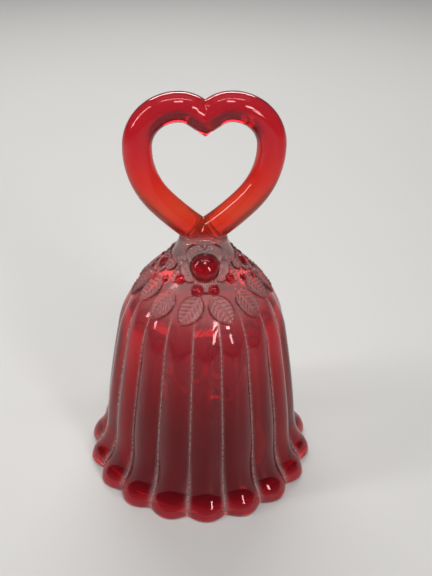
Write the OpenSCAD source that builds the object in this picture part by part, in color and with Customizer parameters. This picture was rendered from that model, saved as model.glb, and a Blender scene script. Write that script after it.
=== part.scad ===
// Pressed glass hand bell: a fluted skirt with a scalloped rim, an open heart-shaped handle,
// and a metal clapper hung on a wire chain from a staple set in cement inside the crown.
// +Z is up, the origin is on the bell's axis in the plane of the rim, and -Y is the front.

/* [Bell outside] */
// Radius of the rim at the tip of a lobe
rim_r = 46.4; // [40:0.1:56]
// Radius of the body just above the flare
waist_r = 38.4; // [34:0.1:42]
// Height of the shoulder's roundest part
shoulder_h = 78; // [65:0.1:94]
// Radius of the shoulder at that height
shoulder_r = 26; // [23:0.1:30]
// Height of the neck, where the handle's collar begins, above the shoulder
neck_rise = 19; // [15.5:0.1:23]
// Radius of the neck
neck_r = 10.2; // [9:0.1:13]

/* [Flutes] */
// Number of flutes and rim lobes
flutes = 18; // [12:2:24]
// Depth of the valley between two lobes at the rim
flute_depth = 3.2; // [1:0.1:4]
// Share of that depth that is left at mid height
flute_mid = 0.6; // [0.3:0.05:0.9]

/* [Wall] */
// Glass between the inner wall and the bottom of a valley
wall = 2.7; // [2.2:0.1:4]
// Height of the crown inside above the shoulder's roundest part
crown_rise = 6; // [5:0.1:7.4]

/* [Heart handle] */
// Half width of the heart, to the middle of its rod
heart_half_w = 23.3; // [19.4:0.1:28]
// Height of the two lobes above the neck's lower end, to the middle of the rod
heart_h = 53.8; // [44.8:0.1:64.6]
// Radius of the outer side of a lobe, to the middle of the rod
lobe_r = 14.3; // [11.9:0.1:17.2]
// Radius of the inner side of a lobe, towards the cusp
dip_r = 10; // [8.3:0.1:12]
// Slope at which the lobes run down to the cusp
cusp_angle = 35; // [29:0.5:42]
// Radius of the bend at the side
side_r = 30; // [25:0.1:36]
// Length of the upright stretch at the side
side_len = 0.7; // [0.5:0.1:4]
// Radius of the arms' gentle curve down to the foot
arm_r = 95; // [79:1:114]
// Slope of the arms where they meet at the foot
foot_angle = 35; // [29:0.5:42]
// Radius of the rod at the sides
rod_r = 5.2; // [4.3:0.1:6.3]
// Radius of the rod over the lobes and at the cusp
top_rod_r = 5.25; // [4.35:0.05:6.3]
// Radius of the rod at the foot of the heart
foot_rod_r = 5.2; // [4.3:0.1:6.3]
// Height of the collar under the heart
collar_h = 4.9; // [4:0.1:6]
// How much narrower the collar is at its top
collar_taper = 1.6; // [1:0.1:2]

/* [Hanger] */
// Radius of the cement plug in the crown
plug_r = 4.5; // [3.6:0.1:5.5]
// Height of the cement plug
plug_h = 6.5; // [5:0.1:8]
// How far the staple's eye hangs below the crown
eye_drop = 5; // [4:0.1:7]

/* [Chain] */
// Diameter of the chain wire
wire_d = 1.0; // [0.8:0.05:1.2]
// Length of a link's opening
link_inner_l = 5.25; // [4.4:0.05:6.3]
// Width of a link's opening
link_inner_w = 2.0; // [1.7:0.05:2.5]
// Play between two hooked links
link_play = 0.15; // [0.1:0.01:0.2]

/* [Clapper] */
// Diameter of the clapper ball
ball_d = 14; // [11:0.1:17]
// Length of bare shank between the eye and the ball
shank_l = 1.8; // [1:0.1:3]
// How deep the shank is set into the ball
shank_in = 4; // [3:0.1:5]

/* [Hidden] */
LINKS = 9;
$fn = 48;

seat_gap = 0.05;              // the plug's and the shank's play in their holes
around = flutes * 6;          // points round the bell, six to a flute
outer_rings = 32;
crown_extra = 4.6;            // the glass gets this much thicker towards the crown
plug_cover = 1.5;             // cement above the staple's ends
foot_sink = 1;                // the rod ends this far above the collar's lower face
wire_r = wire_d / 2;
bend_r = link_inner_w / 2 + wire_r;            // a link's round end, to the middle of its wire
pitch = link_inner_l - link_play;              // from one hooked wire to the next
neck_h = shoulder_h + neck_rise;
crown_h = shoulder_h + crown_rise;
plug_top = crown_h + plug_h;
eye_z = crown_h - eye_drop;                    // middle of the staple's lowest wire
clapper_z = eye_z - LINKS * pitch;             // middle of the last link's lowest wire
ball_z = clapper_z + 2 * wire_r + link_play - 2 * bend_r - wire_r - shank_l - ball_d / 2;

// Outline of the lobes' tips, radius and height from the rim to the neck
outer_line = [
    [rim_r, 0],
    [rim_r - 0.9, 0.05 * shoulder_h],
    [waist_r + 3.3, 0.12 * shoulder_h],
    [waist_r + 1, 0.215 * shoulder_h],
    [waist_r - 0.3, 0.36 * shoulder_h],
    [waist_r - 2, 0.52 * shoulder_h],
    [waist_r - 4.4, 0.71 * shoulder_h],
    [shoulder_r + 5.3, 0.87 * shoulder_h],
    [shoulder_r, shoulder_h],
    [shoulder_r - 7, shoulder_h + 0.42 * neck_rise],
    [neck_r + 3, shoulder_h + 0.74 * neck_rise],
    [neck_r, neck_h]
];

function clamp01(t) = min(1, max(0, t));
function smooth(t) = clamp01(t) * clamp01(t) * (3 - 2 * clamp01(t));

// A smooth curve through a list of points, t running from 0 at the first to 1 at the last
function spline_point(a, b, c, d, t) =
    0.5 * (2 * b + (c - a) * t + (2 * a - 5 * b + 4 * c - d) * t * t
        + (3 * b - a - 3 * c + d) * t * t * t);
function along(line, t) =
    let (last = len(line) - 1,
        i = min(last - 1, floor(t * last)),
        a = line[max(0, i - 1)],
        d = line[min(last, i + 2)])
    spline_point(a, line[i], line[i + 1], d, t * last - i);

// Valley depth at a height: deep at the rim, steady on the body, gone on the shoulder
function depth_at(z) =
    flute_depth * (1 - (1 - flute_mid) * smooth(z / (0.4 * shoulder_h)))
        * (1 - smooth((z - 0.74 * shoulder_h) / (0.36 * shoulder_h)));
// Share of the valley depth at an angle: 0 on a lobe's crest, 1 in a valley; a crest faces -Y
function groove_at(angle) = 1 - abs(cos(flutes / 2 * (angle + 90)));

// The inside follows the valleys a wall's thickness away, and ends in the crown and the plug's seat
function inner_r(t) = let (p = along(outer_line, t)) p[0] - depth_at(p[1]) - wall - crown_extra * smooth(5 * t - 2.9);
inner_top = 0.68;             // share of the outline that the inner wall follows before the crown
inner_steps = 11;
inner_line = [
    for (i = [0:inner_steps]) let (t = inner_top * i / inner_steps) [inner_r(t), along(outer_line, t)[1]],
    [plug_r + 13.8, crown_h - 6.2],
    [plug_r + 8.6, crown_h - 2.6],
    [plug_r + 3.2, crown_h - 0.6],
    [plug_r + seat_gap, crown_h]
];

function outer_ring(t) = let (p = along(outer_line, t)) [
    for (i = [0:around - 1]) let (a = 360 * i / around, r = p[0] - depth_at(p[1]) * groove_at(a))
        [r * cos(a), r * sin(a), p[1]]
];
function round_ring(r, z) = [
    for (i = [0:around - 1]) let (a = 360 * i / around) [r * cos(a), r * sin(a), z]
];

module bell_body() {
    outer = [for (k = [0:outer_rings]) outer_ring(k / outer_rings)];
    inner = [for (k = [len(inner_line) - 1:-1:0]) round_ring(inner_line[k][0], inner_line[k][1])];
    seat = round_ring(plug_r + seat_gap, plug_top);
    all_rings = concat([seat], inner, outer);
    points = [for (ring = all_rings) each ring];
    count = len(all_rings);
    walls = [
        for (k = [0:count - 2], i = [0:around - 1])
            let (a = k * around + i, b = k * around + (i + 1) % around)
            each [[a, a + around, b], [b, a + around, b + around]]
    ];
    seat_end = [for (i = [0:around - 1]) i];
    neck_end = [for (i = [around - 1:-1:0]) (count - 1) * around + i];
    color([0.55, 0.02, 0.06, 0.6])
        polyhedron(points = points, faces = concat(walls, [seat_end, neck_end]), convexity = 6);
}

lobe_x = heart_half_w - lobe_r;                // centre of a lobe's outer side
lobe_z = neck_h + heart_h - lobe_r;
dip_z = neck_h + heart_h - dip_r;              // centre of its inner side, at the same x
side_x = heart_half_w - side_r;                // centre of the bend at the side
side_z = lobe_z - side_len;
arm_x = -arm_r * sin(foot_angle);              // centre of an arm's gentle curve
bend = acos((side_x - arm_x) / (arm_r - side_r));
arm_z = side_z + (arm_r - side_r) * sin(bend);
rod_sides = 28;
rod_turn = [for (i = [0:rod_sides - 1]) 360 * i / rod_sides];    // 0 faces out of the heart

// A ring of the rod on an arc round (x, z), with the rod's radius at that place
function rod_ring(x, z, r, angle, rod) = [
    for (turn = rod_turn) let (reach = r + rod * cos(turn))
        [x + reach * cos(angle), rod * sin(turn), z + reach * sin(angle)]
];
// A ring between the foot and the side: each line along the rod starts where it meets the middle
function arm_ring(share) = [
    for (turn = rod_turn)
        let (rod = foot_rod_r + share * (rod_r - foot_rod_r),
            reach = arm_r + rod * cos(turn),
            start = -acos(-arm_x / reach),
            angle = start - share * (bend + start))
        [arm_x + reach * cos(angle), rod * sin(turn), arm_z + reach * sin(angle)]
];
// A ring between a lobe's top and the cusp: each line bends down and then runs straight to the middle
function cusp_ring(share) = [
    for (turn = rod_turn)
        let (reach = dip_r + top_rod_r * cos(turn),
            steep = min(cusp_angle, asin(min(1, lobe_x / reach))),
            bow = reach * steep * PI / 180,
            straight = (lobe_x - reach * sin(steep)) / cos(steep),
            run = share * (bow + straight),
            angle = min(steep, run / reach * 180 / PI),
            rest = max(0, run - bow))
        [lobe_x - reach * sin(angle) - rest * cos(steep), top_rod_r * sin(turn),
            dip_z + reach * cos(angle) - rest * sin(steep)]
];

arm_steps = 4;
side_steps = 6;
lobe_steps = 10;
cusp_steps = 6;
half_rings = concat(
    [for (k = [0:arm_steps]) arm_ring(k / arm_steps)],
    [for (k = [1:side_steps]) rod_ring(side_x, side_z, side_r, bend * (k / side_steps - 1), rod_r)],
    [for (k = [0:lobe_steps]) let (share = k / lobe_steps)
        rod_ring(lobe_x, lobe_z, lobe_r, 90 * share, rod_r + share * (top_rod_r - rod_r))],
    [for (k = [1:cusp_steps]) cusp_ring(k / cusp_steps)]
);

module heart_rod() {
    last = len(half_rings) - 1;
    left_rings = [for (k = [last - 1:-1:1]) [for (p = half_rings[k]) [-p[0], p[1], p[2]]]];
    rings = concat(half_rings, left_rings);
    count = len(rings);
    walls = [
        for (k = [0:count - 1], i = [0:rod_sides - 1])
            let (next = ((k + 1) % count) * rod_sides, j = (i + 1) % rod_sides, here = k * rod_sides)
            each [[here + i, next + i, here + j], [here + j, next + i, next + j]]
    ];
    polyhedron(points = [for (ring = rings) each ring], faces = walls, convexity = 8);
}

module heart_handle() {
    far = 2 * heart_half_w;
    top_r = neck_r - collar_taper;
    color([0.75, 0.04, 0.06, 0.6]) {
        intersection() {
            heart_rod();
            translate([-far, -far, neck_h + foot_sink]) cube([2 * far, 2 * far, 2 * heart_h]);
        }
        translate([0, 0, neck_h]) cylinder(r1 = neck_r, r2 = top_r, h = collar_h);
    }
}

leg_x = bend_r;               // the staple's legs stand this far from the axis

module staple_legs(grow) {
    for (side = [-1, 1]) translate([side * leg_x, 0, eye_z + bend_r])
        cylinder(r = wire_r + grow, h = plug_top - plug_cover - eye_z - bend_r + grow);
}

module cement_plug() {
    color("gainsboro") difference() {
        translate([0, 0, crown_h]) cylinder(r = plug_r, h = plug_h);
        staple_legs(seat_gap);
    }
}

// Half a ring of wire in the XZ plane, open upwards, its ends level with the origin
module wire_bend() {
    rotate([90, 0, 0]) rotate_extrude(angle = 180, start = 180)
        translate([bend_r, 0]) circle(r = wire_r);
}

module hanger_staple() {
    color("silver") {
        translate([0, 0, eye_z + bend_r]) wire_bend();
        staple_legs(0);
    }
}

// Link n hangs from the wire above it; odd links lie in the YZ plane and even ones in the XZ plane
module chain_link(n) {
    lowest = eye_z - n * pitch;
    side_l = link_inner_l + 2 * wire_r - 2 * bend_r;
    color("silver") rotate([0, 0, n % 2 == 1 ? 90 : 0]) {
        translate([0, 0, lowest + bend_r]) wire_bend();
        translate([0, 0, lowest + bend_r + side_l]) rotate([0, 180, 0]) wire_bend();
        for (side = [-1, 1]) translate([side * bend_r, 0, lowest + bend_r])
            cylinder(r = wire_r, h = side_l);
    }
}

module chain_link_1() { chain_link(1); }
module chain_link_2() { chain_link(2); }
module chain_link_3() { chain_link(3); }
module chain_link_4() { chain_link(4); }
module chain_link_5() { chain_link(5); }
module chain_link_6() { chain_link(6); }
module chain_link_7() { chain_link(7); }
module chain_link_8() { chain_link(8); }
module chain_link_9() { chain_link(9); }

ring_z = clapper_z + 2 * wire_r + link_play - bend_r;    // middle of the clapper's eye
shank_top = ring_z - bend_r;
shank_end = ball_z + ball_d / 2 - shank_in;

module clapper_eye() {
    color("silver") {
        translate([0, 0, ring_z]) rotate([90, 0, 0]) rotate_extrude() translate([bend_r, 0]) circle(r = wire_r);
        translate([0, 0, shank_end]) cylinder(r = wire_r, h = shank_top - shank_end);
    }
}

module clapper_ball() {
    color("silver") difference() {
        translate([0, 0, ball_z]) sphere(r = ball_d / 2);
        translate([0, 0, shank_end - seat_gap]) cylinder(r = wire_r + seat_gap, h = ball_d);
    }
}

bell_body();
heart_handle();
cement_plug();
hanger_staple();
chain_link_1();
chain_link_2();
chain_link_3();
chain_link_4();
chain_link_5();
chain_link_6();
chain_link_7();
chain_link_8();
chain_link_9();
clapper_eye();
clapper_ball();
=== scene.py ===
from math import acos, cos, hypot, pi, radians, sin

import bmesh
import bpy
import numpy as np
from mathutils import Matrix, Vector


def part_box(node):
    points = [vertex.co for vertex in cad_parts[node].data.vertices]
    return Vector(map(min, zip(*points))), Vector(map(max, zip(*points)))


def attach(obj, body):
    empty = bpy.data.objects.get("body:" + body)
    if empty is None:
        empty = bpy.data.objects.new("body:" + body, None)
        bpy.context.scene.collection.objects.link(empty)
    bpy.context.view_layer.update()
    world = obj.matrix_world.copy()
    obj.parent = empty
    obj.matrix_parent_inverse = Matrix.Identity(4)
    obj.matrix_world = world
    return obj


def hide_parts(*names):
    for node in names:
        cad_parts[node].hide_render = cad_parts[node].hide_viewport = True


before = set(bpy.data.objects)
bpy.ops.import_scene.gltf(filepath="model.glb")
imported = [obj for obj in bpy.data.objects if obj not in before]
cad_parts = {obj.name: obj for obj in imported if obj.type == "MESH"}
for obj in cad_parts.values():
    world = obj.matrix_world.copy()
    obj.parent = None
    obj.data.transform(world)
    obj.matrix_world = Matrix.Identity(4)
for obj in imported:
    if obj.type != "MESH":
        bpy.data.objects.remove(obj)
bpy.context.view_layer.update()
mm = 0.001

# small helpers


def linear(hexColour):  # sRGB hex to linear light
    parts = [int(hexColour[i:i + 2], 16) / 255 for i in (1, 3, 5)]
    light = [c / 12.92 if c <= 0.04045 else ((c + 0.055) / 1.055) ** 2.4 for c in parts]
    return (*light, 1)


def smoothStep(low, high, value):
    t = np.clip((value - low) / (high - low), 0, 1)
    return t * t * (3 - 2 * t)


def meshFrom(bm, name, shadeSmooth=True):
    data = bpy.data.meshes.new(name)
    bm.to_mesh(data)
    bm.free()
    if shadeSmooth:
        data.shade_smooth()
    piece = bpy.data.objects.new(name, data)
    bpy.context.scene.collection.objects.link(piece)
    return piece


def addNode(tree, kind, settings=None, links=None):
    made = tree.nodes.new(kind)
    for key, value in (settings or {}).items():
        if isinstance(key, str) and hasattr(made, key):
            setattr(made, key, value)
        else:
            made.inputs[key].default_value = value
    for key, source in (links or {}).items():
        tree.links.new(source, made.inputs[key])
    return made


def newMaterial(name):
    material = bpy.data.materials.new(name)
    material.use_nodes = True
    tree = material.node_tree
    tree.nodes.clear()
    return material, tree


# the bell's glass

bell = {                    # lengths in mm
    "flutes": 18,
    "stepsPerFlute": 24,
    "fluteDepth": 3.2,      # valley depth at the rim
    "fluteMid": 0.6,        # share of it left at mid height
    "wall": 2.7,
    "crownExtra": 4.6,      # the wall gets this much thicker at the shoulder
    "thicker": (0.58, 0.78),    # shares of the outline between which it does
    "shoulderZ": 78.0,
    "innerTop": 0.936,      # share of the shoulder's height where the inner wall leaves the outside
    "crown": [(13.8, 6.2), (8.6, 2.6), (3.2, 0.6)],     # out from the seat, down from the crown
    "seatPlay": 0.05,       # round the cement
    "collarHigh": 4.9,
    "collarTaper": 1.6,
    "lipRound": 1.1,
    "lipSteps": 6,
    "lipDraft": 0.15,       # the lip's inner edge stands out this much
    "collarRound": 1.3,
    "innerRings": 22,
    "skirtRings": 40,
    "reliefFrom": 72.0,     # the pressed flowers start at this height
    "reliefStep": 0.34,     # between rings there
}

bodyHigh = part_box("bell_body")[1]
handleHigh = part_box("heart_handle")[1]
plugLow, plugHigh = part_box("cement_plug")
rimRadius = bodyHigh.y / mm
neckZ = bodyHigh.z / mm
neckRadius = handleHigh.y / mm
seatRadius = plugHigh.x / mm
seatTop = plugHigh.z / mm
crownZ = plugLow.z / mm
collarTop = neckZ + bell["collarHigh"]

# radius and height of the lobes' tips, rim to neck
outline = [
    (rimRadius, 0), (rimRadius - 0.9, 3.9), (41.7, 9.4), (39.4, 16.8), (38.1, 28.1),
    (36.4, 40.6), (34.0, 55.4), (31.3, 67.9), (26.0, 78), (19.0, 86), (13.2, 92.1),
    (neckRadius, neckZ), (neckRadius - bell["collarTaper"], collarTop),
]


def alongOutline(share):
    last = len(outline) - 1
    i = min(last - 1, int(share * last))
    a, b = outline[max(0, i - 1)], outline[i]
    c, d = outline[i + 1], outline[min(last, i + 2)]
    t = share * last - i
    return [  # a smooth curve through the points
        0.5 * (2 * b[k] + (c[k] - a[k]) * t + (2 * a[k] - 5 * b[k] + 4 * c[k] - d[k]) * t * t
               + (3 * b[k] - a[k] - 3 * c[k] + d[k]) * t ** 3)
        for k in (0, 1)
    ]


def evenLine(count, low, high):  # points at even spacing between two heights of the outline
    fine = np.array([alongOutline(s) for s in np.linspace(0, 1, 1200)])
    fine = fine[(fine[:, 1] >= low - 1e-6) & (fine[:, 1] <= high + 1e-6)]
    run = np.concatenate([[0], np.cumsum(np.hypot(*np.diff(fine, axis=0).T))])
    at = np.linspace(0, run[-1], count)
    return np.column_stack([np.interp(at, run, fine[:, 0]), np.interp(at, run, fine[:, 1])])


outlineFine = np.array([alongOutline(s) for s in np.linspace(0, 1, 2000)])


def radiusAt(z):
    return np.interp(z, outlineFine[:, 1], outlineFine[:, 0])


def valleyDepth(z):
    upper = bell["shoulderZ"]
    low = 1 - (1 - bell["fluteMid"]) * smoothStep(0, 0.4 * upper, z)
    return bell["fluteDepth"] * low * (1 - smoothStep(0.74 * upper, 1.1 * upper, z))


def grooveShare(angle):  # 0 on a crest, 1 in a valley; a crest faces -Y
    return 1 - np.abs(np.cos(bell["flutes"] / 2 * (angle + pi / 2)))


def alongShare(z):  # how far along the outline a height is
    shares = np.linspace(0, 1, 400)
    fine = np.array([alongOutline(s) for s in shares])
    return float(np.interp(z, fine[:, 1], shares))


def bellProfile():  # radius and height, outside from the rim up and inside from the rim up
    lip, curl = bell["lipRound"], bell["collarRound"]
    quarter = np.linspace(0, pi / 2, bell["lipSteps"])
    skirt = evenLine(bell["skirtRings"], lip, bell["reliefFrom"])
    reliefLength = np.hypot(*np.diff(evenLine(200, bell["reliefFrom"], collarTop), axis=0).T).sum()
    relief = evenLine(int(reliefLength / bell["reliefStep"]), bell["reliefFrom"], collarTop - curl)
    outer = [(rimRadius - lip * (1 - sin(a)), lip * (1 - cos(a))) for a in quarter]
    outer += [tuple(p) for p in skirt[1:]] + [tuple(p) for p in relief[1:]]
    edge = outer[-1][0]
    outer += [(edge - curl * (1 - cos(a)), collarTop - curl * (1 - sin(a))) for a in quarter[1:]]
    outer += [(edge * s, collarTop) for s in (0.6, 0.3, 0)]
    inner = []
    for r, z in evenLine(bell["innerRings"], lip, bell["innerTop"] * bell["shoulderZ"]):
        extra = bell["crownExtra"] * float(smoothStep(*bell["thicker"], alongShare(z)))
        inner.append((r - float(valleyDepth(z)) - bell["wall"] - extra, z))
    inner += [(seatRadius + out, crownZ - down) for out, down in bell["crown"]]
    seatEdge = seatRadius + bell["seatPlay"]
    rimIn = inner[0][0] + bell["lipDraft"]
    lipIn = [(rimIn + lip * (1 - sin(a)), lip * (1 - cos(a))) for a in quarter[::-1]]
    seat = [(seatEdge, crownZ), (seatEdge, seatTop), (0, seatTop)]
    return outer, lipIn + inner[1:] + seat


# the pressed flowers on the shoulder, a plain design of beads, leaves and stems

flowers = {
    "beads": [  # degrees from the front, height, radius, rise: mm
        (0, 94.2, 5.0, 3.4), (-10, 87.9, 2.1, 1.7), (10, 87.9, 1.9, 1.5),
        (-36, 90.0, 1.8, 1.4), (36, 90.0, 1.8, 1.4), (-58, 88.4, 1.4, 1.1), (58, 88.4, 1.4, 1.1),
        (90, 90.5, 2.6, 1.3), (76, 86.6, 1.4, 0.9), (-76, 86.6, 1.4, 0.9),
        (-90, 90.5, 2.6, 1.3), (104, 86.6, 1.4, 0.9), (-104, 86.6, 1.4, 0.9),
    ],
    "frontBeads": 7,    # the first of them stand at the back too
    "leaves": [  # degrees from the front and height at the stalk, then at the tip, half width: mm
        (7, 86.2, 21, 78.2, 3.9), (38, 86.4, 47, 77.0, 3.9), (62, 88.4, 70, 79.2, 3.6),
        (86, 86.0, 92, 76.4, 3.8), (33, 94.0, 47, 88.6, 2.3), (58, 94.6, 68, 90.4, 2.0),
    ],
    "stems": [  # degrees from the front and height at each end, half width: mm
        (0, 91, 7, 86.2, 0.6), (36, 90, 38, 86.4, 0.6), (47, 92, 62, 88.4, 0.55),
        (75, 90, 86, 86.0, 0.55), (24, 96.0, 33, 94.0, 0.5), (47, 95.6, 58, 94.6, 0.5),
    ],
    "petals": [  # degrees from the front, height, bead radius, reach of the petals: mm
        (0, 94.2, 5.0, 9.2), (180, 94.2, 5.0, 9.2), (90, 90.5, 2.6, 5.0), (-90, 90.5, 2.6, 5.0),
    ],
    "leafRise": 0.8,    # mm
    "veinRise": 0.4,
    "veinGap": 1.7,
    "stemRise": 0.55,
    "petalRise": 1.15,
    "rayRise": 0.14,
    "rays": 50,         # round a flower
}


def mirrored(rows, places):  # front left, and the same at the back
    done = []
    for row in rows:
        for side in (1, -1):
            for back in (False, True):
                new = list(row)
                for k in places:
                    new[k] = side * (180 - row[k] if back else row[k])
                done.append(tuple(new))
    return done


maskNames = ("valley", "satinSheen", "polished", "creaseShade")   # vertex values the glass material reads


class ShoulderMap:  # flat mm coordinates round a point of the shoulder: across, and down the slope
    def __init__(self):
        fine = np.array([alongOutline(s) for s in np.linspace(0, 1, 3000)])
        run = np.concatenate([[0], np.cumsum(np.hypot(*np.diff(fine, axis=0).T))])
        self.z, self.r, self.run = fine[:, 1], fine[:, 0], run

    def slope(self, z):
        return np.interp(z, self.z, self.run)

    def flat(self, angle, z, angle0, z0):
        turn = (angle - radians(angle0) + pi) % (2 * pi) - pi
        down = self.slope(z0) - self.slope(z)
        middle = np.interp(z0, self.z, self.r)   # shapes fan out a little down the slope
        here = np.interp(z, self.z, self.r)
        return turn * (0.35 * middle + 0.65 * here), down


def reliefHeight(angle, z, chart):  # the rise in mm, then where it is polished and where creases get painted shade
    rise, polished, creaseShade = np.zeros_like(z), np.zeros_like(z), np.zeros_like(z)
    # stems: round ribs between two points
    for a0, z0, a1, z1, half in mirrored(flowers["stems"], (0, 2)):
        x, y = chart.flat(angle, z, a0, z0)
        ex, ey = [float(v) for v in chart.flat(np.array(radians(a1)), np.array(z1), a0, z0)]
        t = np.clip((x * ex + y * ey) / (ex * ex + ey * ey), 0, 1)
        away = np.hypot(x - t * ex, y - t * ey + 0.8 * np.sin(pi * t))
        rib = flowers["stemRise"] * np.sqrt(np.clip(1 - (away / half) ** 2, 0, 1))
        rise = np.maximum(rise, rib)
    # leaves: a pointed oval with a raised edge, a middle rib and side veins
    for a0, z0, a1, z1, half in mirrored(flowers["leaves"], (0, 2)):
        x, y = chart.flat(angle, z, a0, z0)
        ex, ey = [float(v) for v in chart.flat(np.array(radians(a1)), np.array(z1), a0, z0)]
        length = hypot(ex, ey)
        t = (x * ex + y * ey) / length ** 2
        side = (x * ey - y * ex) / length
        inside = np.clip(t, 0, 1)
        width = half * np.sin(pi * inside ** 0.85) ** 0.6 + 1e-6
        edge = np.abs(side) / width
        body = np.where((t > 0) & (t < 1), 1 - smoothStep(0.9, 1.02, edge), 0)
        dish = 0.4 + 0.6 * smoothStep(0.45, 0.92, edge)
        middleRib = np.exp(-(side / 0.3) ** 2)
        wave = np.cos(2 * pi * (inside * length - 0.8 * np.abs(side)) / flowers["veinGap"])
        veins, between = np.clip(wave, 0, 1) ** 2, np.clip(-wave, 0, 1) ** 2
        ribs = flowers["veinRise"] * np.maximum(middleRib, 0.9 * veins)
        rise = np.maximum(rise, body * (flowers["leafRise"] * dish + ribs))
        # a line of painted shade round the leaf's edge
        beyond = np.where((t > -0.02) & (t < 1.02), (edge - 1.02) * width, 9)
        creaseShade = np.maximum(creaseShade * (1 - body), np.exp(-(beyond / 0.32) ** 2))
        # dark lines between the leaf's veins: painted shade
        creaseShade = np.maximum(creaseShade, 0.55 * body * between * (1 - middleRib) * (edge < 0.85))
    # five dished petals with fine rays round each large bead, a notch between the two at the top
    for a0, z0, inner, outer in flowers["petals"]:
        x, y = chart.flat(angle, z, a0, z0)
        away, turn = np.hypot(x, y), np.arctan2(x, -y)
        # 0 along a petal, 1 between two
        fifth = np.abs((turn % (2 * pi / 5)) / (2 * pi / 5) - 0.5) * 2
        reach = inner + (outer - inner) * (1 - fifth ** 3.0) ** 0.5
        across = np.clip((away - inner) / np.maximum(reach - inner, 0.05), 0, 1.2)
        petal = 1 - smoothStep(0.9, 1.03, across)
        raised = np.maximum(smoothStep(0.55, 0.9, across), smoothStep(0.7, 0.97, fifth))
        dish = 0.35 + 0.65 * raised
        rays = flowers["rayRise"] * np.cos(flowers["rays"] * turn)
        rays *= smoothStep(0.1, 0.3, across) * (1 - smoothStep(0.6, 0.8, across))
        rise = np.maximum(rise, petal * (flowers["petalRise"] * dish * inner / 5 + rays))
        # a line of painted shade round the petals
        beyond = (away - reach - 0.1) / (0.35 * inner / 5 + 0.1)
        creaseShade = np.maximum(creaseShade * (1 - petal), np.exp(-beyond ** 2))
    # beads: round domes with a crease at the foot, which gets painted shade
    behind = [(180 - turn, *rest) for turn, *rest in flowers["beads"][:flowers["frontBeads"]]]
    for a0, z0, radius, high in flowers["beads"] + behind:
        x, y = chart.flat(angle, z, a0, z0)
        away = np.hypot(x, y) / radius
        polished = np.maximum(polished, 1 - smoothStep(0.95, 1.1, away))
        dome = high * np.sqrt(np.clip(1 - away ** 2, 0, 1))
        foot = np.exp(-((away - 1.05) / 0.08) ** 2)
        rise = np.where(away < 1, np.maximum(rise * 0.2, dome), rise - 0.25 * foot * (rise > 0.05))
        creaseShade = np.maximum(creaseShade * (away > 1), foot)
    return rise, polished, creaseShade


marks = {                       # lengths in mm
    "valleyWidth": 0.4,         # pale line, and how much wider it is at the rim
    "valleyWider": 0.7,
    "widerUpTo": (2, 26),       # heights over which it narrows
    "valleyEnds": (76, 86),
    "satinStarts": (76, 81),
    "satinEnds": (1.2, 3.4),    # above the neck
    "plainSatin": 0.45,         # share of it between the flowers
    "skin": 1.6,                # vertices this near the outline are outside
}


def shapeOutside(bm):
    co = np.array([v.co for v in bm.verts]) / mm
    r, z = np.hypot(co[:, 0], co[:, 1]), co[:, 2]
    angle = np.arctan2(co[:, 1], co[:, 0])
    outside = (r > radiusAt(z) - marks["skin"]) & (r > 0.5)
    front = angle + pi / 2
    rise, polished, creaseShade = reliefHeight(front, z, ShoulderMap())
    rise = np.where((z > bell["reliefFrom"]) & outside & (z < collarTop - 0.2), rise, 0)
    fade = smoothStep(bell["reliefFrom"], bell["reliefFrom"] + 2, z)
    top = 1 - smoothStep(collarTop - 1.5, collarTop - 0.1, z)
    cut = valleyDepth(z) * grooveShare(angle)
    # masks for the glass: pale valleys, the mould's satin on the flowers, beads, and painted shade
    # in the creases
    pitch = 2 * pi / bell["flutes"]
    offset = (front + pitch / 2) % pitch
    away = r * np.minimum(offset, pitch - offset)
    wider = marks["valleyWider"] * (1 - smoothStep(*marks["widerUpTo"], z))
    width = marks["valleyWidth"] + wider
    valley = np.exp(-(away / width) ** 2) * (1 - smoothStep(*marks["valleyEnds"], z)) * outside
    plain = marks["plainSatin"]
    raised = plain + (1 - plain) * smoothStep(0.1, 0.5, rise)
    satinSheen = smoothStep(*marks["satinStarts"], z) * raised
    satinSheen *= outside * (1 - polished) * (1 - smoothStep(*marks["satinEnds"], z - neckZ))
    onFlowers = fade * outside * (z < collarTop - 0.2)
    masks = (valley, satinSheen, polished * onFlowers, creaseShade * onFlowers)
    for name, values in zip(maskNames, masks):
        layer = bm.verts.layers.float.new(name)
        for v, value in zip(bm.verts, values):
            v[layer] = value
    # the slope's outward direction, so that beads stand square to the shoulder
    dz = 0.5
    lean = (radiusAt(z + dz) - radiusAt(z - dz)) / (2 * dz)
    norm = np.sqrt(1 + lean ** 2)
    outR = rise * fade * top / norm - cut
    outZ = -rise * fade * top * lean / norm
    newR = np.where(outside, r + outR, r)
    newZ = np.where(outside, z + outZ, z)
    scale = np.where(r > 1e-6, newR / np.maximum(r, 1e-6), 1)
    for v, s, high in zip(bm.verts, scale, newZ):
        v.co = Vector((v.co.x * s, v.co.y * s, high * mm))


def makeBell():
    outer, inner = bellProfile()
    bm = bmesh.new()
    loop = inner[::-1] + outer  # from the seat, down the inside, round the lip and up the outside
    turned = [bm.verts.new((0, -r * mm, z * mm)) for r, z in loop]
    edges = [bm.edges.new(pair) for pair in zip(turned, turned[1:])]
    bmesh.ops.spin(
        bm, geom=turned + edges, cent=(0, 0, 0), axis=(0, 0, 1), angle=2 * pi,
        steps=bell["flutes"] * bell["stepsPerFlute"], use_merge=True,
    )
    bmesh.ops.remove_doubles(bm, verts=bm.verts, dist=1e-6)
    shapeOutside(bm)
    bmesh.ops.recalc_face_normals(bm, faces=bm.faces)
    return bm


# the heart

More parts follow.
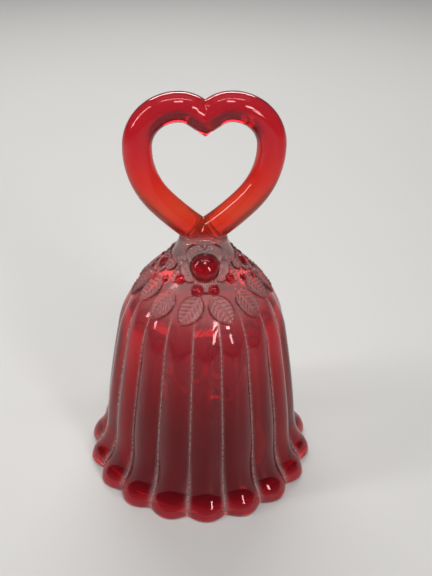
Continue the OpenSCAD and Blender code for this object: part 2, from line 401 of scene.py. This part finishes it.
heart = {                       # lengths in mm, angles in degrees
    "rodSide": 5.2,             # radius of the rod
    "rodTop": 5.25,
    "rodFoot": 5.2,
    "lobe": 14.3,               # outer and inner side of a lobe
    "dip": 10.0,
    "cuspSlope": 35.0,          # the run to the cusp
    "cuspOverlap": 1.0,
    "sideBend": 30.0,
    "upright": 0.7,
    "arm": 95.0,                # the arms' gentle curve
    "footSlope": 35.0,
    "overrun": 5.0,             # an arm starts this far past the middle and is cut there
    "sides": 52,
    "armSteps": 48,
    "sideSteps": 44,
    "lobeSteps": 56,
    "dipSteps": 24,
    "cuspSteps": 6,
}


def makeHeart():
    half = handleHigh.x / mm - heart["rodSide"]
    topZ = handleHigh.z / mm - heart["rodTop"]
    lobeX, lobeZ = half - heart["lobe"], topZ - heart["lobe"]
    sideX, sideZ = half - heart["sideBend"], lobeZ - heart["upright"]
    armX = -heart["arm"] * sin(radians(heart["footSlope"]))
    bend = acos((sideX - armX) / (heart["arm"] - heart["sideBend"]))
    armZ = sideZ + (heart["arm"] - heart["sideBend"]) * sin(bend)
    cusp = radians(heart["cuspSlope"])
    start = -acos(-armX / heart["arm"]) - radians(heart["overrun"])

    bm = bmesh.new()
    rodRadius = heart["rodFoot"] * mm
    ring = bmesh.ops.create_circle(bm, segments=heart["sides"], radius=rodRadius)["verts"]
    bmesh.ops.transform(bm, matrix=Matrix.Rotation(-start, 4, "Y"), verts=ring)
    reach = Vector((cos(start), 0, sin(start))) * heart["arm"]
    bmesh.ops.translate(bm, vec=(Vector((armX, 0, armZ)) + reach) * mm, verts=ring)
    edges = list({e for v in ring for e in v.link_edges})

    def grow(edges, ratio):  # the new end ring gets a little thicker or thinner
        verts = list({v for e in edges for v in e.verts})
        middle = sum((v.co for v in verts), Vector()) / len(verts)
        bmesh.ops.scale(bm, vec=(ratio,) * 3, verts=verts, space=Matrix.Translation(-middle))

    def straight(edges, move, steps):
        for _ in range(steps):
            out = bmesh.ops.extrude_edge_only(bm, edges=edges)["geom"]
            verts = [g for g in out if isinstance(g, bmesh.types.BMVert)]
            bmesh.ops.translate(bm, vec=move * mm / steps, verts=verts)
            edges = [g for g in out if isinstance(g, bmesh.types.BMEdge)]
            edges = [e for e in edges if len(e.link_faces) == 1]
        return edges

    def arc(edges, x, z, angle, steps, ratio=1.0):
        for _ in range(steps):
            out = bmesh.ops.spin(
                bm, geom=edges, cent=(x * mm, 0, z * mm), axis=(0, -1, 0),
                angle=angle / steps, steps=1,
            )["geom_last"]
            edges = [g for g in out if isinstance(g, bmesh.types.BMEdge)]
            grow(edges, ratio ** (1 / steps))
        return edges

    footRatio, topRatio = heart["rodSide"] / heart["rodFoot"], heart["rodTop"] / heart["rodSide"]
    edges = arc(edges, armX, armZ, -bend - start, heart["armSteps"], footRatio)
    edges = arc(edges, sideX, sideZ, bend, heart["sideSteps"])
    edges = straight(edges, Vector((0, 0, heart["upright"])), 1)
    edges = arc(edges, lobeX, lobeZ, pi / 2, heart["lobeSteps"], topRatio)
    edges = arc(edges, lobeX, topZ - heart["dip"], cusp, heart["dipSteps"])
    inward = Vector((-cos(cusp), 0, -sin(cusp))) * (lobeX + heart["cuspOverlap"])
    straight(edges, inward, heart["cuspSteps"])
    # half a heart so far: cut it at the middle and mirror it
    bmesh.ops.bisect_plane(
        bm, geom=bm.verts[:] + bm.edges[:] + bm.faces[:], dist=1e-7,
        plane_co=(0, 0, 0), plane_no=(1, 0, 0), clear_inner=True,
    )
    bmesh.ops.mirror(bm, geom=bm.verts[:] + bm.edges[:] + bm.faces[:], axis="X", merge_dist=1e-5)
    bmesh.ops.remove_doubles(bm, verts=bm.verts, dist=1e-6)
    bmesh.ops.recalc_face_normals(bm, faces=bm.faces)
    return bm


joint = {                       # lengths in mm, heights above the neck
    "seamLow": 1.0,
    "seamHigh": 9.0,
    "fold": -0.5,               # radians, an edge folded in more than this is on the seam
    "widen": 3,                 # rings of vertices either side of it
    "passes": 10,               # of smoothing
    "footLow": -3.0,            # the heart's foot: from here up,
    "footOff": 0.3,             # this far out from the bell's outline
    "footBeside": 0.2,          # and no wider than the rod and this
    "lidPlay": 0.05,
}


def joinHandle(body, rod):  # one pressing: the heart's foot melts into the neck
    union = body.modifiers.new("pressing", "BOOLEAN")
    union.operation, union.solver, union.object = "UNION", "EXACT", rod
    result = body.evaluated_get(bpy.context.evaluated_depsgraph_get())
    joined = bpy.data.meshes.new_from_object(result)
    body.modifiers.clear()
    body.data = joined
    bpy.data.objects.remove(rod)
    bm = bmesh.new()
    bm.from_mesh(joined)
    bmesh.ops.remove_doubles(bm, verts=bm.verts, dist=2e-6)
    low, high = (neckZ + joint["seamLow"]) * mm, (neckZ + joint["seamHigh"]) * mm
    seam = set()
    for e in bm.edges:
        if low < e.verts[0].co.z < high and e.is_manifold:
            if e.calc_face_angle_signed() < joint["fold"]:
                seam.update(e.verts)
    for _ in range(joint["widen"]):
        seam |= {e.other_vert(v) for v in list(seam) for e in v.link_edges}
    for _ in range(joint["passes"]):
        bmesh.ops.smooth_vert(
            bm, verts=list(seam), factor=0.5, use_axis_x=True, use_axis_y=True, use_axis_z=True,
        )
    layers = [bm.verts.layers.float[name] for name in maskNames]
    for v in bm.verts:  # the masks belong to the bell alone
        z, r, across = v.co.z / mm, hypot(v.co.x, v.co.y) / mm, abs(v.co.y) / mm
        foot = z > neckZ + joint["footLow"] and r > radiusAt(z) + joint["footOff"]
        foot = foot and across < heart["rodFoot"] + joint["footBeside"]
        if foot or z > collarTop + joint["lidPlay"]:
            for layer in layers:
                v[layer] = 0
    bm.to_mesh(joined)
    bm.free()
    joined.shade_smooth()
    return body


rod = meshFrom(makeHeart(), "heartRod")
glassBell = meshFrom(makeBell(), "glassBell")
glassBell = joinHandle(glassBell, rod)
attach(glassBell, "glass_bell")
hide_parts("bell_body", "heart_handle")
print("glass:", sum(len(f.vertices) - 2 for f in glassBell.data.polygons), "triangles")


# materials

rubyGlass = {               # lengths in mm
    "absorb": "#fa3040",
    "density": 230.0,       # per metre
    "ior": 1.52,            # soda-lime glass
    "clear": 0.8,           # the rest shows as body colour, a choice for the look
    "sheen": "#ffc4c6",     # reflections take a little of the ruby, also a choice
    "waveSize": 9.0,        # the slow ripple that fire polishing leaves
    "waveDepth": 0.002,
    "heightSpan": 156.0,
    "depthsWithPaintedLight": [             # height and the ruby's depth of colour, struck deepest in the skirt, where the dark tint is also painted shade; the lip's bright red is painted light coming through the glass, and the pale pink shoulder is a painted reflection
        (0.0, "#ff6472"), (3.8, "#ff4a5a"), (6.5, "#9c1c2c"), (36.0, "#9c1c2c"), (50.0, "#b82030"),
        (68.0, "#e44858"), (78.0, "#ec7a82"), (93.0, "#f4d4d2"), (101.0, "#fadcd8"),
        (104.5, "#ff3c24"), (113.0, "#ff8458"), (124.0, "#fa5c48"), (136.0, "#e43c4c"),
        (156.0, "#d04456"),
    ],
    "valley": "#ffe4e2",    # paler along the sharp valleys
    "speckSize": 0.9,        # the pale lines are broken up at this size
    "satinSheen": "#f2dcd8",     # the flowers' fine mould texture scatters light, and their pale tint is also a painted reflection
    "satinSheenShare": 0.72,          # how much of the pale tint
    "bead": "#c8283a",      # the beads' thick glass shows its full colour
    "creaseShade": "#701824",    # the creases round the flowers get this dark tint as painted shade
    "smooth": 0.03,         # roughness of polished glass and of the satin and the pale valleys
    "rough": 0.34,
}


# Soda-lime glass coloured in the melt, pressed in an iron mould and fire polished. Light goes
# through it and comes out deep red, the polished lobes give sharp highlights, the sharp valleys are
# paler, and the flowers keep the mould's fine texture, which scatters light. The colour also
# carries painted light: a dark skirt and dark creases round the flowers as painted shade, a bright
# lip as painted light, and a pale pink shoulder and flowers as painted reflection.
def pressedRubyGlass():
    material, tree = newMaterial("pressedRubyGlass")
    place = addNode(tree, "ShaderNodeTexCoord").outputs["Object"]
    height = addNode(tree, "ShaderNodeSeparateXYZ", {}, {"Vector": place}).outputs["Z"]
    span = rubyGlass["heightSpan"]
    share = addNode(tree, "ShaderNodeMapRange", {"From Max": span * mm}, {"Value": height})
    # colour by height: the ruby's depth, with painted light, painted shade and a painted reflection
    # in it
    ramp = addNode(tree, "ShaderNodeValToRGB", {}, {"Fac": share.outputs["Result"]})
    stops = ramp.color_ramp.elements
    while len(stops) < len(rubyGlass["depthsWithPaintedLight"]):
        stops.new(0.5)
    for stop, (z, colour) in zip(stops, rubyGlass["depthsWithPaintedLight"]):
        stop.position, stop.color = z / span, linear(colour)
    valley, satinSheen, polished, creaseShade = [
        addNode(tree, "ShaderNodeAttribute", {"attribute_name": name}).outputs["Fac"]
        for name in maskNames
    ]
    specks = addNode(
        tree, "ShaderNodeTexNoise", {"Scale": 1 / (rubyGlass["speckSize"] * mm), "Detail": 4.0},
        {"Vector": place})
    broken = addNode(
        tree, "ShaderNodeMapRange", {"From Min": 0.35, "From Max": 0.6, "To Min": 0.7},
        {"Value": specks.outputs["Fac"]})
    paleLine = addNode(
        tree, "ShaderNodeMath", {"operation": "MULTIPLY"},
        {0: valley, 1: broken.outputs["Result"]}).outputs["Value"]
    satinSheenShare = addNode(
        tree, "ShaderNodeMath", {"operation": "MULTIPLY", 1: rubyGlass["satinSheenShare"]},
        {0: satinSheen}).outputs["Value"]
    tint = ramp.outputs["Color"]
    # tints over the colour by height: the satin's pale tint is partly a painted reflection, the
    # creases' dark tint is painted shade
    for key, mask in (("satinSheen", satinSheenShare), ("bead", polished), ("creaseShade", creaseShade), ("valley", paleLine)):
        tint = addNode(
            tree, "ShaderNodeMixRGB", {"Color2": linear(rubyGlass[key])},
            {"Fac": mask, "Color1": tint}).outputs["Color"]
    ripple = addNode(
        tree, "ShaderNodeTexNoise", {"Scale": 1 / (rubyGlass["waveSize"] * mm), "Detail": 0.0},
        {"Vector": place})
    bump = addNode(
        tree, "ShaderNodeBump", {"Strength": 1.0, "Distance": rubyGlass["waveDepth"] * mm},
        {"Height": ripple.outputs["Fac"]})
    scatter = addNode(tree, "ShaderNodeMath", {"operation": "MAXIMUM"}, {0: paleLine, 1: satinSheen})
    rough = addNode(
        tree, "ShaderNodeMapRange", {"To Min": rubyGlass["smooth"], "To Max": rubyGlass["rough"]},
        {"Value": scatter.outputs["Value"]})
    glass = addNode(
        tree, "ShaderNodeBsdfPrincipled",
        {
            "Transmission Weight": rubyGlass["clear"], "IOR": rubyGlass["ior"],
            "Specular Tint": linear(rubyGlass["sheen"]),
        },
        {
            "Base Color": tint, "Roughness": rough.outputs["Result"],
            "Normal": bump.outputs["Normal"],
        })
    inside = addNode(
        tree, "ShaderNodeVolumeAbsorption",
        {"Color": linear(rubyGlass["absorb"]), "Density": rubyGlass["density"]})
    addNode(
        tree, "ShaderNodeOutputMaterial", {},
        {"Surface": glass.outputs["BSDF"], "Volume": inside.outputs["Volume"]})
    return material


def brightMetal(name, look):  # bare metal whose roughness follows a fine noise
    material, tree = newMaterial(name)
    place = addNode(tree, "ShaderNodeTexCoord").outputs["Object"]
    noise = addNode(
        tree, "ShaderNodeTexNoise", {"Scale": 1 / (look["grain"] * mm), "Detail": look["detail"]},
        {"Vector": place})
    rough = addNode(tree, "ShaderNodeMapRange", look["range"], {"Value": noise.outputs["Fac"]})
    shade = addNode(
        tree, "ShaderNodeBsdfPrincipled", {"Base Color": linear(look["colour"]), "Metallic": 1.0},
        {"Roughness": rough.outputs["Result"]})
    addNode(tree, "ShaderNodeOutputMaterial", {}, {"Surface": shade.outputs["BSDF"]})
    return material


steelWire = {               # grain is the noise's size in mm
    "colour": "#b9b6b0", "grain": 0.3, "detail": 2.0,
    "range": {"To Min": 0.2, "To Max": 0.42},
}
nickel = {
    "colour": "#cfc9bd", "grain": 2.5, "detail": 5.0,
    "range": {"From Min": 0.4, "From Max": 0.75, "To Min": 0.08, "To Max": 0.3},
}
cement = {                  # lengths in mm
    "dark": "#bdb8ac", "light": "#e6e2d8", "poreSize": 0.6, "poreDepth": 0.1, "rough": 0.85,
}


# Set cement, mixed white and pressed in by hand: matt and pale, with small pores.
def whiteCement():
    material, tree = newMaterial("whiteCement")
    place = addNode(tree, "ShaderNodeTexCoord").outputs["Object"]
    grain = addNode(
        tree, "ShaderNodeTexNoise", {"Scale": 1 / (cement["poreSize"] * mm), "Detail": 6.0},
        {"Vector": place})
    ramp = addNode(tree, "ShaderNodeValToRGB", {}, {"Fac": grain.outputs["Fac"]})
    stops = ramp.color_ramp.elements
    stops[0].position, stops[1].position = 0.35, 0.65
    stops[0].color, stops[1].color = linear(cement["dark"]), linear(cement["light"])
    bump = addNode(
        tree, "ShaderNodeBump", {"Strength": 0.6, "Distance": cement["poreDepth"] * mm},
        {"Height": grain.outputs["Fac"]})
    shade = addNode(
        tree, "ShaderNodeBsdfPrincipled", {"Roughness": cement["rough"]},
        {"Base Color": ramp.outputs["Color"], "Normal": bump.outputs["Normal"]})
    addNode(tree, "ShaderNodeOutputMaterial", {}, {"Surface": shade.outputs["BSDF"]})
    return material


def wear(piece, material):
    piece.data.materials.clear()
    piece.data.materials.append(material)


wear(glassBell, pressedRubyGlass())
# steel wire drawn through a die and bent by hand: bright, with fine draw lines that soften it
wire = brightMetal("drawnSteelWire", steelWire)
for name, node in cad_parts.items():
    if name.startswith("chain_link") or name in ("hanger_staple", "clapper_eye"):
        wear(node, wire)
# a turned ball with polished nickel plating: sharp warm grey reflections and faint wear
wear(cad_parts["clapper_ball"], brightMetal("nickelPlate", nickel))
wear(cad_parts["cement_plug"], whiteCement())
print("materials done")


# floor, light and camera

stage = {"floor": "#c2c0bd", "world": "#9a9ea4", "worldStrength": 0.2, "floorHalf": 4.0}


# Plain pale painted board, matt enough to hold no clear reflection.
def paleFloor():
    material, tree = newMaterial("paleFloor")
    place = addNode(tree, "ShaderNodeTexCoord").outputs["Object"]
    tone = addNode(tree, "ShaderNodeTexNoise", {"Scale": 6.0, "Detail": 4.0}, {"Vector": place})
    rough = addNode(
        tree, "ShaderNodeMapRange", {"To Min": 0.45, "To Max": 0.6}, {"Value": tone.outputs["Fac"]})
    shade = addNode(
        tree, "ShaderNodeBsdfPrincipled", {"Base Color": linear(stage["floor"])},
        {"Roughness": rough.outputs["Result"]})
    addNode(tree, "ShaderNodeOutputMaterial", {}, {"Surface": shade.outputs["BSDF"]})
    return material


def makeFloor():
    bm = bmesh.new()
    bmesh.ops.create_grid(bm, x_segments=1, y_segments=1, size=stage["floorHalf"])
    floor = meshFrom(bm, "floor", shadeSmooth=False)
    wear(floor, paleFloor())


foot, middle = (0, 0, 0), (0, 0, 0.08)
lights = [  # name, place, what it faces, width and height in metres, power in watts
    ("overheadBox", (0, 0.05, 0.95), foot, 1.0, 0.8, 0.9),
    ("overheadStrip", (0, -0.14, 1.0), middle, 0.8, 0.06, 2.2),
    ("topBox", (0.02, -0.42, 0.85), middle, 0.2, 0.16, 1.6),
    ("windowBox", (0.45, -0.75, 0.35), middle, 0.14, 0.16, 1.3),
    ("frontBox", (0.42, -0.75, 0.6), middle, 0.18, 0.18, 2.2),
    ("leftStrip", (-0.6, -0.1, 0.45), middle, 0.1, 0.5, 2.0),
    ("backStrip", (0.0, 0.65, 0.55), middle, 0.8, 0.15, 4.5),
]


def softBox(name, place, towards, width, height, power):
    data = bpy.data.lights.new(name, "AREA")
    data.shape, data.size, data.size_y, data.energy = "RECTANGLE", width, height, power
    lamp = bpy.data.objects.new(name, data)
    bpy.context.scene.collection.objects.link(lamp)
    lamp.location = place
    lamp.rotation_euler = (Vector(towards) - Vector(place)).to_track_quat("-Z", "Y").to_euler()


view = {                    # metres, degrees, and mm for the lens and sensor
    "place": (-0.0186, -0.2771, 0.2575), "turn": 4.9, "pitch": 32.83, "roll": 1.45,
    "lens": 54.125, "sensor": (27.0, 36.0),
}


def makeCamera():
    data = bpy.data.cameras.new("camera")
    data.sensor_fit = "VERTICAL"
    data.sensor_width, data.sensor_height = view["sensor"]
    data.lens = view["lens"]
    camera = bpy.data.objects.new("camera", data)
    bpy.context.scene.collection.objects.link(camera)
    turn = Matrix.Rotation(-radians(view["turn"]), 4, "Z")
    tilt = Matrix.Rotation(radians(90 - view["pitch"]), 4, "X")
    roll = Matrix.Rotation(radians(view["roll"]), 4, "Z")
    camera.matrix_world = Matrix.Translation(view["place"]) @ turn @ tilt @ roll
    bpy.context.scene.camera = camera


def makeWorld():
    world = bpy.data.worlds.new("studio")
    bpy.context.scene.world = world
    world.use_nodes = True
    sky = world.node_tree.nodes["Background"]
    sky.inputs["Color"].default_value = linear(stage["world"])
    sky.inputs["Strength"].default_value = stage["worldStrength"]


makeFloor()
makeWorld()
makeCamera()
for row in lights:
    softBox(*row)
bpy.context.scene.view_settings.view_transform = "Standard"
print("stage done")
